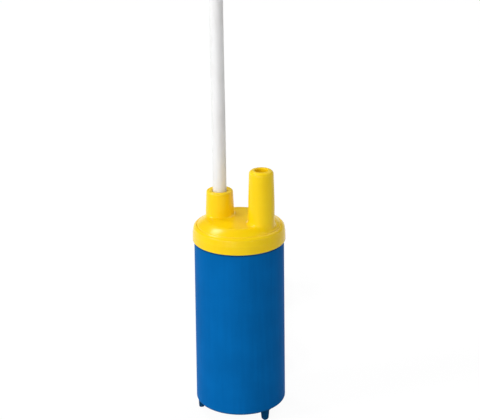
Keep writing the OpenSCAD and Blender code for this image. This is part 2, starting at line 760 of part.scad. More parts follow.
module thrust_washers() color("#e0d8c0") {
    washer_r = shaft_r + washer_w;
    flat_ring(shaft_r, washer_r, z_motor - can_boss_h + bearing_h + slide_fit, washer_t);
    flat_ring(shaft_r, washer_r, z_bell_top - bearing_h - slide_fit - washer_t, washer_t);
}

// A disc with curved vanes below it, pressed on the end of the shaft
module impeller() color("#e8e2cf") {
    disc_z = z_impeller + impeller_h - impeller_disc_t;
    difference() {
        union() {
            translate([0, 0, disc_z]) cylinder(r = impeller_r, h = impeller_disc_t);
            translate([0, 0, z_impeller]) cylinder(d = impeller_hub_d, h = impeller_h);
            intersection() {
                translate([0, 0, z_impeller]) cylinder(r = impeller_r, h = impeller_h);
                for (i = [0:vane_count - 1]) rotate(360 * i / vane_count) intersection() {
                    translate([0, vane_bend_r, 0])
                        flat_ring(vane_bend_r - vane_t / 2, vane_bend_r + vane_t / 2,
                            z_impeller, impeller_h - join);
                    translate([0, -vane_t, z_impeller]) cube([impeller_r, vane_bend_r + vane_t, impeller_h]);
                }
            }
        }
        translate([0, 0, z_impeller + impeller_h - shaft_tail]) cylinder(r = shaft_r, h = shaft_tail + past);
    }
}

// The lead's middle is never lower than where the lead lies on the floor
lead_path = [for (p = smooth_route(lead_route, 2)) [p[0], p[1], max(p[2], cord_r)]];

module lead_rise() color("#f2f2f2")
    tube_along(lead_path, cord_d, 10, [1, 0, 0]);

// How far a run of the hank is drawn in, and lifted over the tie, at share f of the run
waist_start = (1 - hank_level / hank_run) / 2;
function waist(f) = (1 - cos(180 * min(1, min(f, 1 - f) / waist_start))) / 2;

// Points of the hank, in loop j: the left run, the near turn, the right run with its climb, the far turn
function left_run(f, j) = [
    -hank_turn_r + hank_waist * waist(f), hank_far_y - hank_run * f,
    cord_r + hank_pitch * j + hank_lift * waist(f)];
function near_turn(f, j) = [
    -hank_turn_r * cos(180 * f), hank_near_y - hank_turn_r * sin(180 * f), cord_r + hank_pitch * j];
function right_run(f, j) = [
    hank_turn_r - hank_waist * waist(f), hank_near_y + hank_run * f,
    cord_r + hank_pitch * (j + (1 - cos(180 * f)) / 2) + hank_lift * waist(f)];
function far_turn(f, j) = [
    hank_turn_r * cos(180 * f), hank_far_y + hank_turn_r * sin(180 * f), cord_r + hank_pitch * (j + 1)];

function hank_at(k) =
    let (j = floor(k / loop_rings), m = k - loop_rings * j)
    m < run_rings ? left_run(m / run_rings, j)
    : m < run_rings + turn_rings ? near_turn((m - run_rings) / turn_rings, j)
    : m < loop_rings - turn_rings ? right_run((m - run_rings - turn_rings) / run_rings, j)
    : far_turn((m - 2 * run_rings - turn_rings) / turn_rings, j);

// The hank begins on the left run and ends where the right run of its last loop ends
hank_rings = hank_loops * loop_rings - turn_rings;
hank_route = concat(
    [[-hank_turn_r, hank_far_y + hank_stub, cord_r]],
    [for (k = [0:hank_rings]) hank_at(k)],
    [tail_end]);

// Least gap of the hank to itself, between points more than a quarter of a loop apart
hank_samples = [for (k = [0:0.25:hank_rings]) hank_at(k)];
hank_least_gap = min([for (i = [0:len(hank_samples) - 1])
    let (start = i + loop_rings)
    if (start < len(hank_samples))
        min([for (k = [start:len(hank_samples) - 1]) norm(hank_samples[i] - hank_samples[k])])]) - cord_d;
echo(hank_least_gap = hank_least_gap);

module lead_hank() color("#f2f2f2")
    tube_along(hank_route, cord_d, 6, [0, 0, 1]);

// The outline of the runs at the hank's waist, with circles of radius r round their middles
module waist_outline(r) {
    hull() for (j = [0, hank_loops - 1]) {
        left = left_run(0.5, j);
        right = right_run(0.5, j);
        translate([left[0], left[2]]) circle(r, $fn = 32);
        translate([right[0], right[2]]) circle(r, $fn = 32);
    }
}

// A band that follows that outline
module hank_tie() color("#1d1d1f")
    translate([0, hank_near_y + hank_run / 2 + tie_w / 2, 0]) rotate([90, 0, 0]) linear_extrude(tie_w)
        difference() {
            waist_outline(cord_r + tie_gap + tie_t);
            waist_outline(cord_r + tie_gap);
        }

// The stripped cores part as they leave the sheath and sag a little
function tail_core(side) = [
    tail_end + [side * core_side, 0, 0], tail_end + [side * core_side, 4, 0],
    tail_end + [side * core_side, 8, 0], tail_end + [side * core_spread * 0.7 - 1, 14, -0.6],
    tail_end + [side * core_spread - 3, 20, -2]];

module tail_core_brown() color("#6b3f22")
    tube_along(smooth_route(tail_core(-1), 3), core_d, 8, [0, 0, 1]);

module tail_core_blue() color("#2f5fae")
    tube_along(smooth_route(tail_core(1), 3), core_d, 8, [0, 0, 1]);

module core_tips() color("#c77b4a")
    for (side = [-1, 1]) {
        route = smooth_route(tail_core(side), 3);
        last = len(route) - 1;
        ahead = unit(route[last] - route[last - 1]);
        tube_along([route[last], route[last] + copper_l * ahead], copper_d, 8, [0, 0, 1]);
    }

casing();
top_cap();
cap_seal_ring();
inlet_strainer();
suction_plate();
volute_ring();
motor_capsule();
capsule_lid();
capsule_seal_ring();
shaft_seal();
motor_can();
field_magnets();
magnet_clip();
lower_bearing();
upper_bearing();
motor_end_bell();
brush_arms();
carbon_brushes();
motor_terminals();
suppression_capacitor();
cable_grommet();
strain_relief_collar();
lead_inner();
inner_core_brown();
inner_core_blue();
motor_shaft();
armature_core();
armature_windings();
commutator_hub();
commutator_bars();
thrust_washers();
impeller();
lead_rise();
lead_hank();
hank_tie();
tail_core_brown();
tail_core_blue();
core_tips();
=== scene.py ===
"""Looks of the caravan water pump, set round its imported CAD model.

Shapes are worked out in millimetres in the part's own frame and become metres when a mesh is made.
"""

import math

import bmesh
import bpy
import numpy as np
from mathutils import Matrix, Vector


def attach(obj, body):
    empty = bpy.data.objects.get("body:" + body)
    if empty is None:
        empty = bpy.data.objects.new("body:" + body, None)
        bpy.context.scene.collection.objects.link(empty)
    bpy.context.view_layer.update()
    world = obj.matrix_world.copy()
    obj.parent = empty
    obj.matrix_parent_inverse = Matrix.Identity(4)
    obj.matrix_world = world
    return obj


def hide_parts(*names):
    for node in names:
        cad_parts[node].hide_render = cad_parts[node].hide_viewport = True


MM = 0.001
TURN = 2 * math.pi
WHITE = (1, 1, 1, 1)

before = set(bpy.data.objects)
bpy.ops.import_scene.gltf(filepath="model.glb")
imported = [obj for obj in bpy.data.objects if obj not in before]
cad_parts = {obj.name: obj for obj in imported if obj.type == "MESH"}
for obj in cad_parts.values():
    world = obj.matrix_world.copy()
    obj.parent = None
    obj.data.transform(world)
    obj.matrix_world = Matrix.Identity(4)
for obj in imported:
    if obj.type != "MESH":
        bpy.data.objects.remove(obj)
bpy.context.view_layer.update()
scene = bpy.context.scene
scene.view_settings.view_transform = "Standard"


# Camera

CAMERA_PLACE = (0.5, -520.286, 282.463)
CAMERA_TILT, CAMERA_ROLL = 20.12, -0.67
SENSOR, LENS = 36, 98.85


def set_camera():
    """The camera of the photograph: place, elevation, roll and lens were fitted to the pump's outline."""
    tilt, roll = math.radians(CAMERA_TILT), math.radians(CAMERA_ROLL)
    back = Vector((0, -math.cos(tilt), math.sin(tilt)))
    level = Vector((1, 0, 0))
    upright = back.cross(level)
    across = level * math.cos(roll) + upright * math.sin(roll)
    up = upright * math.cos(roll) - level * math.sin(roll)
    data = bpy.data.cameras.new("camera")
    data.sensor_width, data.lens = SENSOR, LENS
    camera = bpy.data.objects.new("camera", data)
    turn = Matrix((across, up, back)).transposed().to_4x4()
    camera.matrix_world = Matrix.Translation(Vector(CAMERA_PLACE) * MM) @ turn
    scene.collection.objects.link(camera)
    scene.camera = camera


# Surfaces

# Rounding of a tube's rim, as a share of its radius, and the share of it that is left half way round
TUBE_LIP, LIP_MIDDLE = 0.12, 0.3
# Radius of an outward bend that counts as a full edge, and the shortest mesh edge that is measured
EDGE_R, EDGE_SHORTEST = 0.5, 0.01
WELD = 1e-6


def unit(v):
    """Vectors along the last axis, made one long."""
    return v / np.linalg.norm(v, axis=-1, keepdims=True)


def around(count):
    """Even angles round a circle."""
    return np.linspace(0, TURN, count, endpoint=False)


def heading(angle):
    """Flat vectors one long, at angles counted from the first axis."""
    return np.stack([np.cos(angle), np.sin(angle)], -1)


def at_height(flat, height):
    """Flat points put at a height: one for all of them, or one for each."""
    return np.concatenate([flat, np.broadcast_to(height, flat.shape[:-1])[..., None]], -1)


def quarter_round(share):
    """Quarter of a circle: 0 and upright at share 0, and 1 and level from share 1 on."""
    return np.sqrt(np.maximum(0, 1 - np.maximum(0, 1 - share) ** 2))


def rounded(corners, closed=True, steps=6, support=0.05):
    """Outline through corners (a, b, radius). Each corner gives way to an arc that touches both of its sides,
    with one point just before and one just after it, which keep the sides flat."""
    parts = []
    last = len(corners) - 1
    for i, (a, b, radius) in enumerate(corners):
        here = np.array((a, b), float)
        if radius == 0 or (not closed and i in (0, last)):
            parts.append(here[None])
            continue
        back = unit(np.array(corners[i - 1][:2]) - here)
        on = unit(np.array(corners[(i + 1) % len(corners)][:2]) - here)
        half = math.acos(np.clip(back @ on, -1, 1)) / 2
        reach = radius / math.tan(half)
        centre = here + unit(back + on) * radius / math.sin(half)
        first, final = here + back * reach - centre, here + on * reach - centre
        start = math.atan2(first[1], first[0])
        bow = (math.atan2(final[1], final[0]) - start + math.pi) % TURN - math.pi
        arc = centre + radius * heading(start + bow * np.linspace(0, 1, steps + 1))
        parts.append(np.vstack([here + back * (reach + support), arc, here + on * (reach + support)]))
    return np.vstack(parts)


def turned(profile, angles):
    """Surface of revolution: each profile point (radius, height) is carried round the axis."""
    radius, height = profile[:, 0], profile[:, 1]
    return at_height(radius[:, None, None] * heading(angles), height[:, None])


def between(inner, outer, shares):
    """Rows of points that go from one closed outline to another, straight across, at the given shares."""
    return inner + np.asarray(shares)[:, None, None] * (outer - inner)


def spline(points, step):
    """Smooth curve through points: a natural cubic over the chord length, read at even steps."""
    p = np.asarray(points, float)
    h = np.linalg.norm(np.diff(p, axis=0), axis=1)
    t = np.concatenate([[0], np.cumsum(h)])
    n = len(p)
    system = np.eye(n)
    bend = np.zeros_like(p)
    inside = np.arange(1, n - 1)
    system[inside, inside - 1], system[inside, inside + 1] = h[:-1], h[1:]
    system[inside, inside] = 2 * (h[:-1] + h[1:])
    slope = np.diff(p, axis=0) / h[:, None]
    bend[1:-1] = 6 * np.diff(slope, axis=0)
    m = np.linalg.solve(system, bend)
    s = np.linspace(0, t[-1], max(2, round(t[-1] / step) + 1))
    k = np.clip(np.searchsorted(t, s, "right") - 1, 0, n - 2)
    a, b, w = (t[k + 1] - s)[:, None], (s - t[k])[:, None], h[k][:, None]
    return ((m[k] * a**3 + m[k + 1] * b**3) / (6 * w)
            + (p[k] / w - m[k] * w / 6) * a + (p[k + 1] / w - m[k + 1] * w / 6) * b)


def length_along(path):
    """Distance of each point of a path from its start."""
    return np.concatenate([[0], np.cumsum(np.linalg.norm(np.diff(path, axis=0), axis=1))])


def sweep(path, side, radius, count):
    """Round tube: a circle of the given radius, set square to the path at each of its points. The circle's
    angle is counted from the part of the side vector that is square to the path. The tube's two rims are
    rounded and each end closes in its middle. Beside the grid comes each point's place round and along it."""
    side = np.asarray(side)
    ahead = unit(np.gradient(path, axis=0))
    first = unit(side - (side * ahead).sum(1, keepdims=True) * ahead)
    second = np.cross(ahead, first)
    lip = TUBE_LIP * radius
    bent = LIP_MIDDLE * lip
    index = np.concatenate([[0, 0, 0], np.arange(len(path)), [-1, -1, -1]])
    size = np.concatenate([[0, radius - lip, radius - bent], np.full(len(path), radius),
                           [radius - bent, radius - lip, 0]])[:, None, None]
    shift = np.concatenate([[0, 0, bent, lip], np.zeros(len(path) - 2), [-lip, -bent, 0, 0]])[:, None, None]
    flat = heading(around(count))
    circle = flat[:, :1] * first[index][:, None] + flat[:, 1:] * second[index][:, None]
    grid = path[index][:, None] + shift * ahead[index][:, None] + size * circle
    lay = at_height(np.broadcast_to(flat * radius, grid.shape[:2] + (2,)), length_along(path)[index][:, None])
    return grid, lay


def quads(rows, cols, wrap_rows, wrap_cols):
    """Corner numbers of the faces of a grid, joined back to its start where it wraps."""
    i = np.arange(rows if wrap_rows else rows - 1)[:, None]
    j = np.arange(cols if wrap_cols else cols - 1)[None]
    i2, j2 = (i + 1) % rows, (j + 1) % cols
    return np.stack([i * cols + j, i * cols + j2, i2 * cols + j2, i2 * cols + j], -1).reshape(-1, 4)


def edge_share(mesh):
    """How sharply the surface bends outwards at each vertex: along every mesh edge, twice the fall below the
    tangent plane over the square of the edge's length, averaged, and 1 for a bend of the full edge's radius."""
    count = len(mesh.vertices)
    place, normal = np.empty(count * 3), np.empty(count * 3)
    mesh.vertices.foreach_get("co", place)
    mesh.vertices.foreach_get("normal", normal)
    place, normal = place.reshape(-1, 3) / MM, normal.reshape(-1, 3)
    ends = np.empty(len(mesh.edges) * 2, int)
    mesh.edges.foreach_get("vertices", ends)
    here = np.concatenate([ends[::2], ends[1::2]])
    there = np.concatenate([ends[1::2], ends[::2]])
    step = place[there] - place[here]
    bend = -2 * (step * normal[here]).sum(1) / np.maximum((step**2).sum(1), EDGE_SHORTEST**2)
    mean = np.bincount(here, bend, count) / np.maximum(np.bincount(here, minlength=count), 1)
    return np.clip(mean * EDGE_R, 0, 1)


def piece(name, grids, slot, stands_for, sharp=38, lays=None):
    """One mesh from grids (points, wrap rows, wrap columns), welded where their edges and poles meet, with its
    faces turned outwards. Lays, where given, hold each point's place round and along its strand."""
    verts, faces, base = [], [], 0
    for points, wrap_rows, wrap_cols in grids:
        rows, cols = points.shape[:2]
        faces.append(quads(rows, cols, wrap_rows, wrap_cols) + base)
        verts.append(points.reshape(-1, 3))
        base += rows * cols
    mesh = bpy.data.meshes.new(name)
    mesh.from_pydata((np.vstack(verts) * MM).tolist(), [], np.vstack(faces).tolist())
    if lays is not None:
        layer = mesh.attributes.new("lay", "FLOAT_VECTOR", "POINT")
        layer.data.foreach_set("vector", (np.vstack([x.reshape(-1, 3) for x in lays]) * MM).ravel())
    work = bmesh.new()
    work.from_mesh(mesh)
    bmesh.ops.remove_doubles(work, verts=work.verts, dist=WELD)
    bmesh.ops.recalc_face_normals(work, faces=work.faces)
    work.to_mesh(mesh)
    work.free()
    mesh.attributes.new("edge", "FLOAT", "POINT").data.foreach_set("value", edge_share(mesh))
    mesh.polygons.foreach_set("use_smooth", np.ones(len(mesh.polygons), bool))
    mesh.set_sharp_from_angle(angle=math.radians(sharp))
    mesh.materials.append(FINISHES[slot])
    made = bpy.data.objects.new(name, mesh)
    scene.collection.objects.link(made)
    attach(made, "pump")
    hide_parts(*stands_for)
    return made


def tube(name, path, side, radius, count, slot, stands_for):
    """A round strand along a path, as one piece."""
    grid, lay = sweep(path, side, radius, count)
    return piece(name, [(grid, False, True)], slot, stands_for, lays=[lay])


# Finishes

# How noise is drawn out along a piece: flow streaks, scuffs, die lines, handling marks and wire
STREAK_RUN, SCUFF_RUN = (1.0, 1.0, 0.06), (1.0, 1.0, 0.35)
DIE_RUN, MARK_RUN, WIRE_RUN = (1.0, 1.0, 0.02), (1.0, 1.0, 0.25), (0.2, 0.2, 3.0)
NO_RUN = (1.0, 1.0, 1.0)
# Middle of a noise, round which it moves the roughness
MEAN = 0.5
# Dark teal of the painted shade, for the shadow under the cap's rim and the shade round the casing's foot
PAINTED_SHADE = (5, 40, 58)
# Depths of bump: insulation, rubber, pressed powder, and round turns of wire with their pitch
SHEATH_DEPTH, RUBBER_DEPTH, POWDER_DEPTH, WIRE_DEPTH, WIRE_PITCH = 0.01, 0.02, 0.03, 0.06, 0.32
# How much the lay of the cores shows in a sheath's height, for each metre off the middle
TWIST_SHOWS = 120


class Value:
    """A number in a material's nodes. Arithmetic on it adds Math nodes."""

    def __init__(self, paint, socket):
        self.paint, self.socket = paint, socket

    def __add__(self, other):
        return self.paint.maths("ADD", self, other)

    def __sub__(self, other):
        return self.paint.maths("SUBTRACT", self, other)

    def __rsub__(self, other):
        return self.paint.maths("SUBTRACT", other, self)

    def __mul__(self, other):
        return self.paint.maths("MULTIPLY", self, other)

    __radd__, __rmul__ = __add__, __mul__


class Paint:
    """The nodes of a material, round its Principled shader, or of the world, round its background."""

    def __init__(self, owner):
        owner.use_nodes = True
        self.owner, self.tree = owner, owner.node_tree
        self.shader = next(node for node in self.tree.nodes if node.outputs)

    def node(self, kind, settings=None, inputs=None, out=0):
        """A node of the given type: its settings first, then the values or links of its sockets."""
        made = self.tree.nodes.new(kind)
        for key, value in (settings or {}).items():
            setattr(made, key, value)
        self.feed(made, inputs or {})
        return Value(self, made.outputs[out])

    def feed(self, node, inputs):
        """Gives sockets their links or plain values."""
        for key, value in inputs.items():
            if isinstance(value, Value):
                self.tree.links.new(value.socket, node.inputs[key])
            else:
                node.inputs[key].default_value = value

    def maths(self, operation, *terms):
        """A Math node on values and plain numbers."""
        return self.node("ShaderNodeMath", {"operation": operation}, dict(enumerate(terms)))

    def place(self):
        """Where a point of the piece is, in metres."""
        return self.node("ShaderNodeTexCoord", out="Object")

    def strand(self):
        """Where a point is round and along its own strand."""
        return self.node("ShaderNodeAttribute", {"attribute_name": "lay"}, out="Vector")

    def stretched(self, where, scale):
        """A place with each axis scaled by itself."""
        return self.node("ShaderNodeVectorMath", {"operation": "MULTIPLY"}, {0: where, 1: scale})

    def noise(self, where, scale, detail, rough=0.5):
        """Cloudy noise between 0 and 1."""
        return self.node("ShaderNodeTexNoise", None,
                         {"Vector": where, "Scale": scale, "Detail": detail, "Roughness": rough}, "Fac")

    def ramp(self, value, low, high):
        """A soft step from 0 at low to 1 at high."""
        return self.node("ShaderNodeMapRange", {"interpolation_type": "SMOOTHSTEP"},
                         {"Value": value, "From Min": low, "From Max": high})

    def axis(self, where, name):
        """One coordinate of a place."""
        return self.node("ShaderNodeSeparateXYZ", None, {0: where}, name)

    def tint(self, share, low, high):
        """A colour between two colours."""
        return self.node("ShaderNodeMix", {"data_type": "RGBA"}, {0: share, 6: low, 7: high}, 2)

    def bump(self, height, depth):
        """The surface's normal, pushed by a height of the given depth in millimetres."""
        return self.node("ShaderNodeBump", None, {"Height": height, "Distance": depth * MM}, "Normal")

    def seen(self):
        """1 for the rays that show the background: the camera's, and those in mirrors and glass."""
        camera, glossy, through = (self.node("ShaderNodeLightPath", out="Is %s Ray" % kind)
                                   for kind in ("Camera", "Glossy", "Transmission"))
        return camera + glossy + through

    def done(self, inputs):
        """Feeds the shader, and hands back the material or the world."""
        self.feed(self.shader, inputs)
        return self.owner


def new_finish(name):
    """The nodes of a new material."""
    return Paint(bpy.data.materials.new(name))


def rgb(red, green, blue):
    """A screen colour, 0 to 255, as the linear colour that a node takes."""
    levels = np.array([red, green, blue]) / 255
    linear = np.where(levels <= 0.04045, levels / 12.92, ((levels + 0.055) / 1.055) ** 2.4)
    return (*linear.tolist(), 1.0)


def moulded(name, colour, cloud, rough, gloss, grain, worn_and_sheen=None, shade_bands=()):
    """Moulded plastic: pigment that drifts a little, flow streaks in the gloss and a fine grain. Its edge colour
    is laid
    on outward edges: rubbed wear, and on the yellow cap a painted highlight where rounded rims catch the light.
    Each pair of heights darkens it with painted shade, none at the first height and full at the second."""
    paint = new_finish(name)
    where = paint.place()
    drift = paint.noise(where, scale=70, detail=3)
    streak = paint.noise(paint.stretched(where, STREAK_RUN), scale=620, detail=4)
    fine = paint.noise(where, scale=2600, detail=2)
    rubbed = paint.noise(paint.stretched(where, SCUFF_RUN), scale=1500, detail=5, rough=0.65)
    scuff = paint.ramp(rubbed, low=0.5, high=0.75)
    body = paint.tint(paint.ramp(drift * 0.6 + streak * 0.4, low=0.3, high=0.7), colour, cloud)
    # Outward edges turn paler: rubbed wear, and on the yellow cap also a painted highlight where its rounded
    # rims catch the light
    if worn_and_sheen:
        edge = paint.node("ShaderNodeAttribute", {"attribute_name": "edge"}, out="Fac")
        body = paint.tint(edge * (0.25 + 0.6 * scuff), body, rgb(*worn_and_sheen))
    # Painted shade: each band of height is darkened towards the dark teal, none at its first height and full at
    # its second
    for lit_z, shaded_z in shade_bands:
        shade_share = paint.ramp(paint.axis(where, "Z"), lit_z * MM, shaded_z * MM)
        body = paint.tint(shade_share * (0.55 + 0.35 * streak), body, rgb(*PAINTED_SHADE))
    return paint.done({
        "Base Color": body,
        "Roughness": rough + 0.08 * (streak - MEAN) + 0.1 * scuff,
        "Normal": paint.bump(fine * 0.7 + streak * 0.3, grain),
        "Specular IOR Level": gloss,
    })


def sheath(name, colour, cloud, rough, gloss, glow, twist=None):
    """Extruded insulation: die lines along the strand, a faint lay of what is twisted inside, and handling
    marks. Glow is how far light spreads in it, and twist the length of one turn of the cores."""
    paint = new_finish(name)
    strand = paint.strand()
    lines = paint.noise(paint.stretched(strand, DIE_RUN), scale=1600, detail=3)
    marks = paint.noise(paint.stretched(strand, MARK_RUN), scale=260, detail=4, rough=0.6)
    height = lines * 0.5 + paint.noise(strand, scale=3200, detail=2) * 0.3
    if twist:
        turn = paint.axis(strand, "Z") * (TURN / (twist * MM))
        wave = (paint.axis(strand, "X") * paint.maths("COSINE", turn)
                + paint.axis(strand, "Y") * paint.maths("SINE", turn))
        height = height + wave * TWIST_SHOWS
    return paint.done({
        "Base Color": paint.tint(paint.ramp(marks, low=0.4, high=0.75), colour, cloud),
        "Roughness": rough + 0.14 * (marks - MEAN),
        "Normal": paint.bump(height, SHEATH_DEPTH),
        "Specular IOR Level": gloss,
        "Subsurface Weight": 0.7,
        "Subsurface Radius": (glow * MM,) * 3,
        "Subsurface Scale": 1.0,
    })


def rubbery(name, colour, cloud, rough):
    """Rubber: dull, a little dusty, with a fine matt grain."""
    paint = new_finish(name)
    where = paint.place()
    dust = paint.noise(where, scale=420, detail=4, rough=0.6)
    return paint.done({
        "Base Color": paint.tint(paint.ramp(dust, low=0.35, high=0.75), colour, cloud),
        "Roughness": rough + 0.15 * (dust - MEAN),
        "Normal": paint.bump(paint.noise(where, scale=5200, detail=2), RUBBER_DEPTH),
        "Specular IOR Level": 0.3,
    })


def metal(name, colour, cloud, rough, run=NO_RUN, depth=0.006):
    """Worked metal: tool marks that run one way, with blotches of oxide in colour and gloss."""
    paint = new_finish(name)
    where = paint.place()
    marks = paint.noise(paint.stretched(where, run), scale=1800, detail=4)
    blotch = paint.noise(where, scale=240, detail=4, rough=0.6)
    return paint.done({
        "Base Color": paint.tint(paint.ramp(blotch, low=0.35, high=0.72), colour, cloud),
        "Metallic": 1.0,
        "Roughness": rough + 0.16 * (marks - MEAN) + 0.12 * (blotch - MEAN),
        "Normal": paint.bump(marks, depth),
    })


def pressed(name, colour, cloud, rough, speck):
    """Pressed powder: ferrite or carbon, dark, with pale grains, which are finer the higher the speck."""
    paint = new_finish(name)
    grains = paint.noise(paint.place(), scale=speck, detail=3, rough=0.6)
    return paint.done({
        "Base Color": paint.tint(paint.ramp(grains, low=0.45, high=0.75), colour, cloud),
        "Roughness": rough + 0.15 * (grains - MEAN),
        "Normal": paint.bump(grains, POWDER_DEPTH),
        "Specular IOR Level": 0.35,
    })


def wound(name, colour, cloud, rough):
    """Enamelled wire in layers: round turns beside one another, each half a sine wave high, with a slight change
    of tone from turn to turn."""
    paint = new_finish(name)
    where = paint.place()
    ridge = paint.maths("ABSOLUTE", paint.maths("SINE", paint.axis(where, "Z") * (math.pi / (WIRE_PITCH * MM))))
    tone = paint.noise(paint.stretched(where, WIRE_RUN), scale=900, detail=3)
    return paint.done({
        "Base Color": paint.tint(paint.ramp(tone, low=0.35, high=0.7), colour, cloud),
        "Metallic": 0.6,
        "Roughness": rough + 0.15 * (tone - MEAN),
        "Normal": paint.bump(ridge, WIRE_DEPTH),
    })


# Every finish: how it is made, its two colours, and what sets it apart. Depths and lengths are in millimetres.
LOOKS = {
    "blue_plastic": (moulded, (3, 104, 178), (2, 97, 167), {
        "rough": 0.5, "gloss": 0.015, "grain": 0.012, "worn_and_sheen": (70, 136, 192),
        # Painted shade: a dark band just under the cap's rim, and darkening from 6.4 mm down over the casing's
        # foot and feet
        "shade_bands": ((77.7, 78.9), (6.4, 4.9))}),
    "yellow_plastic": (moulded, (255, 217, 13), (255, 211, 10), {
        # Its paler edge colour is partly a painted highlight on the rounded rims, such as the skirt's lower edge
        "rough": 0.2, "gloss": 0.18, "grain": 0.005, "worn_and_sheen": (255, 230, 96)}),
    "white_plastic": (moulded, (226, 226, 220), (217, 216, 208), {"rough": 0.5, "gloss": 0.4, "grain": 0.02}),
    "black_plastic": (moulded, (48, 48, 50), (38, 38, 40), {"rough": 0.5, "gloss": 0.4, "grain": 0.02}),
    "impeller_plastic": (moulded, (228, 222, 202), (219, 211, 188), {
        "rough": 0.42, "gloss": 0.45, "grain": 0.015}),
    "hub_plastic": (moulded, (104, 60, 40), (88, 50, 33), {"rough": 0.5, "gloss": 0.4, "grain": 0.02}),
    "capacitor_coat": (moulded, (188, 115, 46), (172, 101, 38), {"rough": 0.3, "gloss": 0.5, "grain": 0.03}),
    "tie_plastic": (moulded, (30, 30, 32), (42, 42, 44), {"rough": 0.5, "gloss": 0.4, "grain": 0.02}),
    "seal_rubber": (rubbery, (30, 30, 32), (46, 46, 47), {"rough": 0.6}),
    "grommet_rubber": (rubbery, (92, 93, 96), (108, 108, 109), {"rough": 0.7}),
    "lead_sheath": (sheath, (239, 239, 239), (232, 231, 230), {
        "rough": 0.42, "gloss": 0.2, "glow": 3.0, "twist": 45}),
    "core_brown": (sheath, (107, 63, 34), (96, 55, 30), {"rough": 0.4, "gloss": 0.35, "glow": 0.4}),
    "core_blue": (sheath, (47, 95, 174), (41, 86, 162), {"rough": 0.4, "gloss": 0.35, "glow": 0.4}),
    "copper": (metal, (200, 124, 76), (176, 98, 60), {"rough": 0.3}),
    "bronze": (metal, (176, 142, 88), (156, 122, 72), {"rough": 0.5, "depth": 0.02}),
    "steel": (metal, (186, 188, 192), (170, 172, 174), {"rough": 0.34, "run": (0.05, 0.05, 1.0)}),
    "shaft_steel": (metal, (212, 214, 218), (198, 200, 204), {
        "rough": 0.22, "run": (0.1, 0.1, 1.0), "depth": 0.003}),
    "ferrite": (pressed, (56, 56, 59), (78, 78, 81), {"rough": 0.7, "speck": 3400}),
    "carbon": (pressed, (62, 62, 64), (84, 84, 85), {"rough": 0.65, "speck": 5200}),
    "copper_winding": (wound, (186, 102, 56), (160, 82, 44), {"rough": 0.3}),
}
FINISHES = {name: make(name, rgb(*colour), rgb(*cloud), **traits)
            for name, (make, colour, cloud, traits) in LOOKS.items()}

# CAD pieces that keep their own shape, by the finish they take
KEPT = {
    "white_plastic": ("suction_plate", "volute_ring", "motor_capsule", "capsule_lid"),
    "seal_rubber": ("cap_seal_ring", "capsule_seal_ring", "shaft_seal"),
    "grommet_rubber": ("cable_grommet",),
    "steel": ("motor_can", "magnet_clip", "strain_relief_collar", "motor_terminals", "armature_core"),
    "shaft_steel": ("motor_shaft",),
    "ferrite": ("field_magnets",),
    "bronze": ("lower_bearing", "upper_bearing"),
    "black_plastic": ("motor_end_bell",),
    "copper": ("brush_arms", "commutator_bars"),
    "copper_winding": ("armature_windings",),
    "carbon": ("carbon_brushes",),
    "capacitor_coat": ("suppression_capacitor",),
    "hub_plastic": ("commutator_hub",),
    "impeller_plastic": ("impeller", "thrust_washers"),
}


def dress_kept_nodes():
    """Gives each CAD piece that stays its procedural finish."""
    for look, names in KEPT.items():
        for name in names:
            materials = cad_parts[name].data.materials
            materials.clear()
            materials.append(FINISHES[look])


# The lead and its hank

CORD_R, CORE_R, COPPER_R = 2.9, 0.95, 0.55
CORD_SIDES, TAIL_SIDES, INNER_SIDES, STRAND_SIDES = 28, 16, 14, 10
LEAD_STEP, TAIL_STEP, INNER_STEP = 1.6, 0.5, 0.3
GLAND = (-8.0, 5.6)
LEAD_EXIT, GROMMET_TOP, SHEATH_END = 99, 97.6, 65.35
LEAD_ROUTE = (
    (-8, 5.6, 97.6), (-8, 5.6, 99), (-8, 5.6, 102), (-8, 5.6, 105), (-8, 7.5, 120), (-8.2, 13.5, 145),
    (-8.4, 22, 170), (-8.5, 30, 188), (-8.8, 46, 203), (-9.2, 72, 210), (-9.8, 104, 209), (-10.3, 135, 199),
    (-10.6, 152, 179), (-10.6, 158, 156), (-10.6, 158, 120), (-10.6, 158, 85), (-10.6, 158, 54),
    (-11.5, 157.5, 34), (-13.5, 154, 16.5), (-16, 145, 6), (-17.2, 137, 3.1), (-17.4, 132, 2.9),
    (-17.4, 129, 2.9), (-17.4, 126, 2.9),
)
HANK_R, HANK_NEAR, HANK_FAR, HANK_STUB = 17.4, 42.0, 120.0, 6.0
HANK_RUN = HANK_FAR - HANK_NEAR
HANK_WAIST, HANK_PITCH, HANK_LIFT, HANK_LEVEL = 14.1, 6.4, 1.35, 6.0
HANK_LOOPS, RUN_STEPS, BOW_STEPS = 2, 52, 36
LEAD_IN = (4.5, 3.0, 1.5)
TAIL_END = np.array([HANK_R, HANK_FAR + HANK_STUB, CORD_R + HANK_PITCH * HANK_LOOPS])
TAIL_GAP, TAIL_SPREAD = 0.2, 2.6
# Copper strands round the middle one: their number, length, start inside the core, turns and splay
STRANDS, STRAND_LENGTH, STRAND_START, STRAND_TURNS, STRAND_SPLAY = 6, 6.0, 0.3, 0.55, 0.1
# The tie: its strip's section (across, out, radius), and the heights over the runs where out is 0 and 1
TIE_SECTION = ((-2, 0, 0.2), (2, 0, 0.2), (2, 0.5, 0.2), (0.6, 0.55, 0.2), (0.3, 0.8, 0.25),
               (-0.3, 0.8, 0.25), (-0.6, 0.55, 0.2), (-2, 0.5, 0.2))
TIE_LOW, TIE_HIGH, TIE_SIDES = 0.5, 1.5, 120
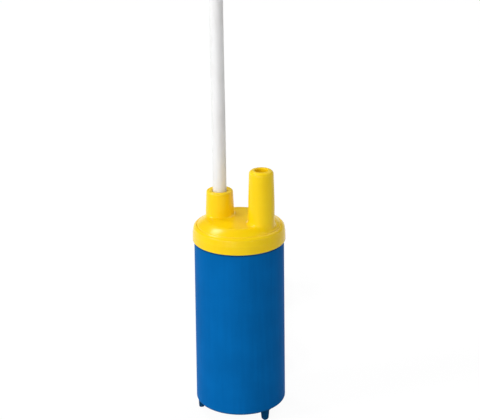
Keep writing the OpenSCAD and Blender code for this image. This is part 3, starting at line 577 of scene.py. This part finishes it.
# Its twisted ends: where they start and run to, the hump of that line, and the turns on a share of it
TWIST_START, TWIST_RUN, TWIST_HUMP = (2.0, 81.0, 18.2), (-6.0, -15.0, -0.4), 1.0
TWIST_TURNS, TWIST_SHARE, STRIP_OFF = 1.6, 0.8, 0.34
STRIP_SECTION = ((-1.3, -0.3, 0.2), (1.3, -0.3, 0.2), (1.3, 0.3, 0.2), (-1.3, 0.3, 0.2))
# The inner cores: how far out the terminals' faces are, and the height at which the cores reach them
TERMINAL, WIRE_Z = 8.85, 62.0


def waist(f):
    """How far a run is drawn in at share f: a cosine step from each end up to the level stretch at the tie."""
    start = (1 - HANK_LEVEL / HANK_RUN) / 2
    return (1 - np.cos(math.pi * np.minimum(1, np.minimum(f, 1 - f) / start))) / 2


def hank_path():
    """Centre line of the hank. Each loop is a left run, a near half turn, a right run that climbs one pitch by a
    cosine step, and a far half turn. The waist draws the runs together and lifts them over the tie."""
    run = np.linspace(0, 1, RUN_STEPS, endpoint=False)
    turn = heading(math.pi * np.linspace(0, 1, BOW_STEPS, endpoint=False))
    side, lift = HANK_R - HANK_WAIST * waist(run), HANK_LIFT * waist(run)
    climb = HANK_PITCH * (1 - np.cos(math.pi * run)) / 2
    parts = [np.array([[-HANK_R, HANK_FAR + s, CORD_R] for s in LEAD_IN])]
    for j in range(HANK_LOOPS):
        low = CORD_R + HANK_PITCH * j
        parts.append(np.stack([-side, HANK_FAR - HANK_RUN * run, low + lift], 1))
        parts.append(at_height((0, HANK_NEAR) - HANK_R * turn, low))
        parts.append(np.stack([side, HANK_NEAR + HANK_RUN * run, low + climb + lift], 1))
        if j < HANK_LOOPS - 1:
            parts.append(at_height((0, HANK_FAR) + HANK_R * turn, low + HANK_PITCH))
    stub = np.linspace(0, 1, 5)[:, None] * (0, HANK_STUB, 0) + TAIL_END - (0, HANK_STUB, 0)
    return np.vstack([*parts, stub])


def tail_core_path(side):
    """Centre line of one stripped core: straight out of the sheath, then parting and sagging a little."""
    off, spread = side * (2 * CORE_R + TAIL_GAP) / 2, side * TAIL_SPREAD
    steps = np.array([(off, 0, 0), (off, 4, 0), (off, 8, 0), (spread * 0.7 - 1, 14, -0.6), (spread - 3, 20, -2)])
    return spline(TAIL_END + steps, TAIL_STEP)


def copper_strands(path):
    """Bare end of a core: strands laid round a straight one as a slow helix, which splay a little, by the square
    of the way."""
    start, ahead = path[-1], unit(path[-1] - path[-2])
    share = np.linspace(0, 1, 13)
    strand_r = COPPER_R / 3
    across = unit(np.cross(ahead, (0.0, 0.0, 1.0)))
    up = np.cross(across, ahead)
    middle = start + (share * STRAND_LENGTH - STRAND_START)[:, None] * ahead
    lines = []
    for k in range(STRANDS):
        flat = heading(TURN * (k / STRANDS + share * STRAND_TURNS))
        off = (2 * strand_r * (1 + STRAND_SPLAY * share**2))[:, None]
        lines.append(middle + off * (flat[:, :1] * across + flat[:, 1:] * up))
    return [sweep(line, up, strand_r, STRAND_SIDES) for line in [*lines, middle]]


def tie_outline(radius):
    """Outline of the band round the hank's four runs: their convex hull, grown by a radius. At each direction it
    is the run that lies furthest that way, moved out by the radius."""
    side, low = HANK_R - HANK_WAIST, CORD_R + HANK_LIFT
    runs = np.array([(-side, low), (-side, low + HANK_PITCH),
                     (side, low + HANK_PITCH / 2), (side, low + HANK_PITCH * 1.5)])
    out = heading(around(TIE_SIDES))
    return runs[np.argmax(out @ runs.T, axis=1)] + radius * out


def tie_band():
    """Coated tie: a flat strip with a wire down its middle, closed round the waist of the hank. Its section is a
    strip with rounded edges whose outer face swells over the wire."""
    section = rounded(TIE_SECTION, steps=3, support=0.03)
    xz = between(tie_outline(CORD_R + TIE_LOW), tie_outline(CORD_R + TIE_HIGH), section[:, 1])
    y = np.broadcast_to((HANK_NEAR + HANK_RUN / 2 + section[:, 0])[:, None], xz.shape[:2])
    return np.stack([xz[..., 0], y, xz[..., 1]], -1)


def tie_tails():
    """The tie's two twisted ends: strips wound about each other along a short line on top of the hank, which
    rises and falls by half a sine wave."""
    share = np.linspace(0, 1, 41)
    line = np.array(TWIST_START) + share[:, None] * TWIST_RUN
    line[:, 2] += TWIST_HUMP * np.sin(math.pi * share)
    ahead = unit(np.gradient(line, axis=0))
    side = unit(np.cross(ahead, (0.0, 0.0, 1.0)))
    up = np.cross(side, ahead)
    spin = heading(TURN * TWIST_TURNS * np.minimum(1, share / TWIST_SHARE))
    wide = spin[:, :1] * side + spin[:, 1:] * up
    thick = np.cross(ahead, wide)
    section = rounded(STRIP_SECTION, steps=3)
    grids = []
    for offset in (-STRIP_OFF, STRIP_OFF):
        middle = (line + offset * thick)[:, None]
        body = middle + section[:, :1] * wide[:, None] + section[:, 1:] * thick[:, None]
        ends = np.broadcast_to(middle, body.shape)
        grids.append((np.concatenate([ends[:1], body, ends[-1:]]), False, True))
    return grids


def make_lead():
    """The lead from the grommet over the top and into its hank, its stripped end and its tie."""
    rise = spline(LEAD_ROUTE, LEAD_STEP)
    path = np.vstack([rise, hank_path()])
    ahead = unit(np.gradient(path, axis=0))
    rising = (np.arange(len(path)) < len(rise))[:, None]
    sides = np.where(rising, np.cross(ahead, (1.0, 0.0, 0.0)), (0.0, 0.0, 1.0))
    lead = tube("lead", path, sides, CORD_R, CORD_SIDES, "lead_sheath", ("lead_rise", "lead_hank"))

    inside = at_height(np.tile(GLAND, (20, 1)), np.linspace(SHEATH_END, GROMMET_TOP, 20))
    tube("lead_inside", inside, (1.0, 0.0, 0.0), CORD_R, CORD_SIDES, "lead_sheath", ("lead_inner",))

    extras, tips = [], []
    for side, name in ((-1, "brown"), (1, "blue")):
        core = tail_core_path(side)
        extras.append(tube("tail_" + name, core, (0.0, 0.0, 1.0), CORE_R, TAIL_SIDES, "core_" + name,
                           ("tail_core_" + name,)))
        tips += copper_strands(core)
    extras.append(piece("bare_copper", [(grid, False, True) for grid, _ in tips], "copper", ("core_tips",),
                        lays=[lay for _, lay in tips]))
    extras.append(piece("lead_tie", [(tie_band(), True, True), *tie_tails()], "tie_plastic", ("hank_tie",),
                        sharp=50))


def make_inner_cores():
    """The two insulated cores inside the capsule, from the sheath's end down and round to their terminals."""
    face, wire, top = TERMINAL, WIRE_Z, SHEATH_END
    brown = (
        (-9.05, 5.6, top), (-9.05, 5.6, top - 1), (-9.05, 5.6, top - 2), (-face - 0.65, 5.1, wire + 0.4),
        (-face - 1.65, 4.2, wire), (-face - 2.45, 3, wire), (-face - 2.75, 1.7, wire), (-face - 2.35, 0.5, wire),
        (-face - 1.4, 0, wire), (-face - 0.7, 0, wire), (-face, 0, wire))
    blue = (
        (-6.95, 5.6, top), (-6.95, 5.6, top - 1), (-6.95, 5.6, top - 2), (-6.1, 6, wire + 0.4), (-4, 6.5, wire),
        (-1, 6.8, wire), (2, 6.7, wire), (5, 6.2, wire), (7.6, 5.4, wire), (face + 0.75, 4.3, wire),
        (face + 2.1, 3, wire), (face + 2.65, 1.7, wire), (face + 2.35, 0.5, wire), (face + 1.4, 0, wire),
        (face + 0.7, 0, wire), (face, 0, wire))
    for name, route, side in (("brown", brown, (0.35, 0.5, -1.0)), ("blue", blue, (-0.35, 0.5, -1.0))):
        tube("inner_" + name, spline(route, INNER_STEP), side, CORE_R, INNER_SIDES, "core_" + name,
             ("inner_core_" + name,))


# The casing and its feet

CASING_LOW, CASING_TOP, CASING_R, CASING_EDGE, CASING_TOP_R = 5.0, 79.0, 19.5, 0.95, 19.0
CASING_SIDE = ((19.48, 8, 0), (19.365, 25, 0), (19.245, 43, 0), (19.12, 61, 0), (19.02, 76, 0))
BORE_R, BORE_MIDDLE, BORE_TOP = 17.4, 40.0, 73.45
NECK_R, NECK_BORE, NECK_TOP = 18.0, 16.6, 84.0
GROOVE_R, GROOVE_LOW, GROOVE_HIGH = 16.75, 80.875, 82.125
FOOT_BEARINGS = (66, 186, 306)
FOOT_R, FOOT_WIDE, FOOT_DEEP, FOOT_TOP = 17.55, 1.5, 1.2, 5.65
# A foot's draft, across and towards the axis: the share of its full size at the tip, and the gain a millimetre
DRAFT_WIDE, DRAFT_DEEP = (0.86, 0.07), (0.92, 0.03)
# Heights of the tip's rounding, across the foot and towards the axis, of the straight part, and of the root
TIP_WIDE, TIP_DEEP = 1.4, 0.9
STRAIGHT_LOW, STRAIGHT_HIGH = 1.8, 4.0
ROOT_LOW, ROOT_TALL, ROOT_HIGH = 4.2, 0.8, 5.5
# How far the root flares out to each side across the foot, and the share of that towards the axis
ROOT_FLARE, ROOT_SHARE = 0.5, 0.5
# Power of a circle's sine and cosine that makes it a rounded oblong
OBLONG = 0.45


def casing_shell():
    """Casing: the closed profile of its wall, with draft, rounded edges, the neck and the groove of its seal
    ring, carried round the axis."""
    profile = rounded([
        (BORE_R, CASING_LOW, 0.3), (CASING_R, CASING_LOW, CASING_EDGE), *CASING_SIDE,
        (CASING_TOP_R, CASING_TOP, 0.2), (NECK_R, CASING_TOP, 0.1), (NECK_R, GROOVE_LOW, 0.1),
        (GROOVE_R, GROOVE_LOW, 0.1), (GROOVE_R, GROOVE_HIGH, 0.1), (NECK_R, GROOVE_HIGH, 0.1),
        (NECK_R, NECK_TOP, 0.25), (NECK_BORE, NECK_TOP, 0.25), (NECK_BORE, BORE_TOP, 0.15),
        (BORE_R, BORE_TOP, 0.15), (BORE_R, BORE_MIDDLE, 0)])
    return turned(profile, around(256))


def foot(bearing):
    """A foot: a rounded oblong set square to the casing's edge, which widens evenly upwards and is flared by a
    quarter round where it grows out of the wall. Its tip is half an ellipse, taller across the foot's width and
    blunter towards the axis."""
    quarter = math.pi / 2
    height = np.concatenate([
        [0], TIP_WIDE * (1 - np.cos(np.linspace(0.04, 1, 14) * quarter)),
        np.linspace(STRAIGHT_LOW, STRAIGHT_HIGH, 4),
        ROOT_LOW + ROOT_TALL * np.sin(np.linspace(0.1, 1, 7) * quarter), [ROOT_HIGH, FOOT_TOP, FOOT_TOP]])
    root = ROOT_FLARE * (1 - quarter_round(1 - np.clip((height - ROOT_LOW) / ROOT_TALL, 0, 1)))
    across, inwards = (tip + gain * height for tip, gain in (DRAFT_WIDE, DRAFT_DEEP))
    wide = FOOT_WIDE * across * quarter_round(height / TIP_WIDE) + root
    deep = FOOT_DEEP * inwards * quarter_round(height / TIP_DEEP) + ROOT_SHARE * root
    wide[0] = deep[0] = wide[-1] = deep[-1] = 0
    shape = heading(around(48))
    shape = np.sign(shape) * np.abs(shape) ** OBLONG
    out = FOOT_R + deep[:, None] * shape[:, 0]
    along = wide[:, None] * shape[:, 1]
    outwards = heading(math.radians(bearing))
    beside = np.array((-outwards[1], outwards[0]))
    return at_height(out[..., None] * outwards + along[..., None] * beside, height[:, None])


def make_casing():
    """The casing's wall and its three feet, as one piece."""
    feet = [(foot(bearing), False, True) for bearing in FOOT_BEARINGS]
    piece("casing_shell", [(casing_shell(), True, True), *feet], "blue_plastic", ("casing",), sharp=40)


# The cap with its spigot and gland

CAP_TOP, FLAT_R, FALL_POWER = 88.35, 13.5, 1.3
RIDGE_Z, RIDGE_R, CEILING_Z = 86.28, 17.5, 86.2
# From the ridge down: the fine groove, the collar and the skirt, as (radius, height, rounding)
COLLAR = ((17.66, 85.86, 0.05), (17.98, 86.08, 0.15), (18.55, 85.72, 1.0), (19.2, 85.05, 0.8))
SKIRT_LOW = 79.0
SKIRT = ((19.6, 82.6, 0.5), (19.68, 80.2, 0), (19.7, SKIRT_LOW, 0.45))
CAP_BORE, CAP_BORE_TOP = 18.05, 84.05
SPIGOT = (9.4, -6.6)
SPIGOT_R, SPIGOT_BORE, SPIGOT_LAND, SPIGOT_TOP = 5.5, 2.8, 98.0, 111.65
SPIGOT_TIP_R, SPIGOT_RIM, SPIGOT_FILLET = 5.1, 1.65, 1.4
SPIGOT_ROWS, BORE_ROW = (91, 94), 100
GLAND_R, GLAND_TIP_R, GLAND_TOP, GLAND_RIM, GLAND_FILLET = 6.05, 5.62, 99.1, 0.8, 0.8
GLAND_SIDE = ((GLAND_R, 90.2, 0), (5.95, 92, 0))
GLAND_MOUTH, GLAND_LIP, LIP_TOP, LIP_LOW = 3.75, 3.08, 98.3, 97.7
GLAND_HOLE, SLEEVE_R, SLEEVE_TOP = 3.5, 4.55, 89.4
# What is left free between a fillet and the ridge
FILLET_ROOM = 0.05


def dome(radius):
    """Height of the cap's top at a distance from the axis: level, then a fall to the ridge that grows as a power
    of the distance from the level part, a little more than straight."""
    share = np.clip((radius - FLAT_R) / (RIDGE_R - FLAT_R), 0, 1)
    return CAP_TOP - (CAP_TOP - RIDGE_Z) * share**FALL_POWER


def cap_halves():
    """Outlines of the two halves of the cap's top, parted by the line midway between the spigot and the gland,
    and the bearings of all points on the ridge. Both halves share the points on the parting line."""
    toward = unit(np.array(SPIGOT) - np.array(GLAND))
    across = np.array((-toward[1], toward[0]))
    line = np.linspace(-1, 1, 65)[:, None] * across * RIDGE_R
    start = math.atan2(across[1], across[0])
    bow = np.linspace(0, math.pi, 129)[1:-1]
    halves = [np.vstack([line, RIDGE_R * heading(start + way * bow)]) for way in (-1, 1)]
    return *halves, np.concatenate([[start], start + bow, [start + math.pi], start + math.pi + bow])


def boss(outline, centre, radius, fillet, profile, rows=44):
    """Half of the cap's top with its boss, as one grid. Rays run from the half's outline to the boss, closer
    together at both ends by a cosine. Along them the height is the dome, plus a quarter-round fillet at the
    foot of the boss, smaller where the ridge is near. The grid goes on up the boss's side, over its rim, down
    its bore and out along the ceiling."""
    centre = np.array(centre)
    ray = outline - centre
    far = np.linalg.norm(ray, axis=1)
    way = ray / far[:, None]
    share = (1 - np.cos(math.pi * np.linspace(0, 1, rows))) / 2
    out = far + share[:, None] * (radius - far)
    flat = centre + out[..., None] * way
    fillet = np.minimum(fillet, far - radius - FILLET_ROOM)
    rise = fillet * (1 - quarter_round(np.clip((out - radius) / fillet, 0, 1)))
    top = at_height(flat, dome(np.linalg.norm(flat, axis=-1)) + rise)
    side = at_height(centre + profile[:, 0][:, None, None] * way, profile[:, 1][:, None])
    lower = between(top[-1], side[0], np.linspace(0, 1, 4)[1:-1])
    edge = at_height(outline * NECK_BORE / RIDGE_R, CEILING_Z)
    ceiling = between(side[-1], edge, np.linspace(0, 1, 9)[1:])
    return np.concatenate([top, lower, side, ceiling])


def make_cap():
    """The cap: the two halves of its top, each with its boss, and the ring of collar, skirt and inner wall, a
    profile carried round the axis at the bearings of the halves' points."""
    spigot_half, gland_half, bearings = cap_halves()
    spigot = rounded([
        *((SPIGOT_R, z, 0) for z in SPIGOT_ROWS), (SPIGOT_R, SPIGOT_LAND, 6),
        (SPIGOT_TIP_R, SPIGOT_TOP, SPIGOT_RIM), (SPIGOT_BORE, SPIGOT_TOP, 0.45), (SPIGOT_BORE, BORE_ROW, 0),
        (SPIGOT_BORE, CEILING_Z, 0)], closed=False, steps=8)
    gland = rounded([
        *GLAND_SIDE, (GLAND_TIP_R, GLAND_TOP, GLAND_RIM), (GLAND_MOUTH, GLAND_TOP, 0.35),
        (GLAND_LIP, LIP_TOP, 0.3), (GLAND_LIP, LIP_LOW, 0.05), (GLAND_HOLE, LIP_LOW, 0.05),
        (GLAND_HOLE, SLEEVE_TOP, 0.1), (SLEEVE_R, SLEEVE_TOP, 0.1), (SLEEVE_R, CEILING_Z, 0)],
        closed=False, steps=8, support=0.03)
    ring = rounded([
        (RIDGE_R, RIDGE_Z, 0), *COLLAR, *SKIRT, (CAP_BORE, SKIRT_LOW, 0.2), (CAP_BORE, CAP_BORE_TOP, 0.1),
        (NECK_BORE, CAP_BORE_TOP, 0.15), (NECK_BORE, CEILING_Z, 0)], closed=False, support=0.03)
    piece("cap_moulding", [
        (boss(spigot_half, SPIGOT, SPIGOT_R, SPIGOT_FILLET, spigot), False, True),
        (boss(gland_half, GLAND, GLAND_R, GLAND_FILLET, gland), False, True),
        (turned(ring, bearings), False, True),
    ], "yellow_plastic", ("top_cap",), sharp=45)


# The strainer

STACK_R, RIM_IN, HUB_R = 17.35, 15.85, 1.4
STRAINER_Z, STRAINER_TOP, DISC_TOP = 6.0, 10.1, 7.5
SLOTS, SLOT_W, SLOT_IN, SLOT_OUT = 14, 1.6, 4.0, 14.85
# Rounding of the slots' edges, and how far it still stands out half way round
SLOT_ROUND, SLOT_MIDDLE = 0.25, 0.073


def slot_outline(extra, span):
    """Outline of a slot with round ends, grown by extra: the far end, the upper side, the near end and the lower
    side. Span gives the shares of a side at which it has points."""
    end = np.linspace(-math.pi / 2, math.pi / 2, 13)
    r = SLOT_W / 2 - SLOT_ROUND + extra
    far = (SLOT_OUT - SLOT_W / 2, 0) + r * heading(end)
    near = (SLOT_IN + SLOT_W / 2, 0) - r * heading(end)
    upper = np.stack([far[-1, 0] + span * (near[0, 0] - far[-1, 0]), r + 0 * span], 1)
    lower = np.stack([near[-1, 0] + span * (far[0, 0] - near[-1, 0]), -r + 0 * span], 1)
    return np.vstack([far, upper, near, lower])


def make_strainer():
    """Strainer: one sector is a slot with round ends, whose rounded walls join the upper and lower face. Both
    faces run from the slot's outline to the sector's. Turned copies of it meet along their straight sides, a hub
    closes the middle and a rim stands round the edge."""
    half = math.pi / SLOTS
    bow = half * np.linspace(-1, 1, 13)
    span = np.linspace(0, 1, 25)[1:-1]
    sides = (RIM_IN + span * (HUB_R - RIM_IN))[:, None]
    outline = np.vstack([RIM_IN * heading(bow), sides * heading(half),
                         HUB_R * heading(-bow), sides[::-1] * heading(-half)])
    grow = (SLOT_ROUND, SLOT_MIDDLE, 0, 0, SLOT_MIDDLE, SLOT_ROUND)
    rise = (0, SLOT_MIDDLE, SLOT_ROUND)
    level = [STRAINER_Z + up for up in rise] + [DISC_TOP - down for down in reversed(rise)]
    wall = np.stack([at_height(slot_outline(extra, span), z) for extra, z in zip(grow, level)])
    shares = np.linspace(0, 1, 6)[1:]
    below = between(wall[0], at_height(outline, STRAINER_Z), shares)[::-1]
    above = between(wall[-1], at_height(outline, DISC_TOP), shares)
    sector = np.concatenate([below, wall, above])
    grids = []
    for k in range(SLOTS):
        a = 2 * half * k
        turn = np.array([[math.cos(a), math.sin(a), 0], [-math.sin(a), math.cos(a), 0], [0, 0, 1]])
        grids.append((sector @ turn, False, True))
    bearings = (half * np.arange(SLOTS)[:, None] * 2 + bow[:-1]).ravel()
    rim = rounded([(RIM_IN, STRAINER_Z, 0), (STACK_R, STRAINER_Z, 0.25), (STACK_R, STRAINER_TOP, 0.2),
                   (RIM_IN, STRAINER_TOP, 0.2), (RIM_IN, DISC_TOP, 0)], closed=False, steps=4)
    grids.append((turned(rim, bearings), False, True))
    for z in (STRAINER_Z, DISC_TOP):
        grids.append((turned(np.array([(HUB_R, z), (HUB_R / 2, z), (0, z)]), bearings), False, True))
    piece("strainer", grids, "blue_plastic", ("inlet_strainer",), sharp=40)


# Floor, background and light

# The floor: half its width in metres, its two greys, and the share and strength of white that the camera sees
FLOOR_HALF, FLOOR_GREYS, FLOOR_SHARE, FLOOR_WHITE = 4, (0.6, 0.62), 0.86, 1.09
# The world: strength at the horizon and overhead, and the heights between which the white band fades out
WORLD_LOW, WORLD_HIGH, BAND_LOW, BAND_HIGH = 0.19, 0.22, 0.16, 0.26
# Wide lamps: bearing from the camera's side, elevation, width of the light (all in degrees) and strength
LAMPS = (("left", -70, 35, 18, 0.4), ("front", -25, 12, 40, 0.46), ("right", 80, 20, 60, 0.11),
         ("rear", 140, 45, 40, 0.22))
# The small lamp: bearing and elevation, then distance and size in metres, and power in watts
SPOT_AIM, SPOT_AWAY, SPOT_SIZE, SPOT_POWER = (-133, 56), 1.1, 0.22, 2.8
AIM_HEIGHT = 70


def make_floor():
    """Pale floor that runs on as the background. What the camera sees of it is mostly white, so that only a
    faint shadow of the object is left."""
    h = FLOOR_HALF
    mesh = bpy.data.meshes.new("floor")
    mesh.from_pydata([(-h, -h, 0), (h, -h, 0), (h, h, 0), (-h, h, 0)], [], [(0, 1, 2, 3)])
    paint = new_finish("floor")
    low, high = ((grey, grey, grey, 1) for grey in FLOOR_GREYS)
    mottle = paint.tint(paint.noise(paint.place(), scale=8, detail=2), low, high)
    paint.done({"Base Color": mottle, "Roughness": 0.9, "Specular IOR Level": 0.0})
    glow = paint.node("ShaderNodeEmission", None, {"Color": WHITE, "Strength": FLOOR_WHITE})
    plain = Value(paint, paint.shader.outputs[0])
    mixed = paint.node("ShaderNodeMixShader", None, {0: paint.seen() * FLOOR_SHARE, 1: plain, 2: glow})
    paint.feed(paint.tree.nodes["Material Output"], {"Surface": mixed})
    mesh.materials.append(paint.owner)
    floor = bpy.data.objects.new("floor", mesh)
    scene.collection.objects.link(floor)


def make_world():
    """Even studio light, a little stronger overhead than at the horizon. The camera, mirrors and glass see a
    white band above the horizon, in which the floor runs on."""
    paint = Paint(bpy.data.worlds.new("studio"))
    height = paint.axis(paint.node("ShaderNodeTexCoord", out="Generated"), "Z")
    even = paint.node("ShaderNodeMapRange", None, {"Value": height, "To Min": WORLD_LOW, "To Max": WORLD_HIGH})
    band = paint.seen() * (1 - paint.ramp(height, BAND_LOW, BAND_HIGH))
    scene.world = paint.done({"Color": WHITE, "Strength": even + band * (1 - even)})


def aimed(name, kind, azimuth, elevation, distance=1.0):
    """A lamp that looks at the pump from a bearing, counted from the camera's side, and a height."""
    a, e = math.radians(azimuth), math.radians(elevation)
    away = Vector((math.sin(a) * math.cos(e), -math.cos(a) * math.cos(e), math.sin(e)))
    lamp = bpy.data.objects.new(name, bpy.data.lights.new(name, kind))
    lamp.location = Vector((0, 0, AIM_HEIGHT * MM)) + away * distance
    lamp.rotation_mode = "QUATERNION"
    lamp.rotation_quaternion = away.to_track_quat("Z", "Y")
    scene.collection.objects.link(lamp)
    return lamp.data


def make_lights():
    """Wide soft lights from the left, the front, the right and high behind on the right, and a small one, high
    behind on the left, that draws the bright spots."""
    for name, azimuth, elevation, width, strength in LAMPS:
        lamp = aimed(name, "SUN", azimuth, elevation)
        lamp.angle, lamp.energy = math.radians(width), strength * math.pi
    spot = aimed("overhead", "AREA", *SPOT_AIM, SPOT_AWAY)
    spot.shape, spot.size, spot.energy = "SQUARE", SPOT_SIZE, SPOT_POWER


set_camera()
make_lead()
make_cap()
make_casing()
make_strainer()
make_inner_cores()
dress_kept_nodes()
make_floor()
make_world()
make_lights()
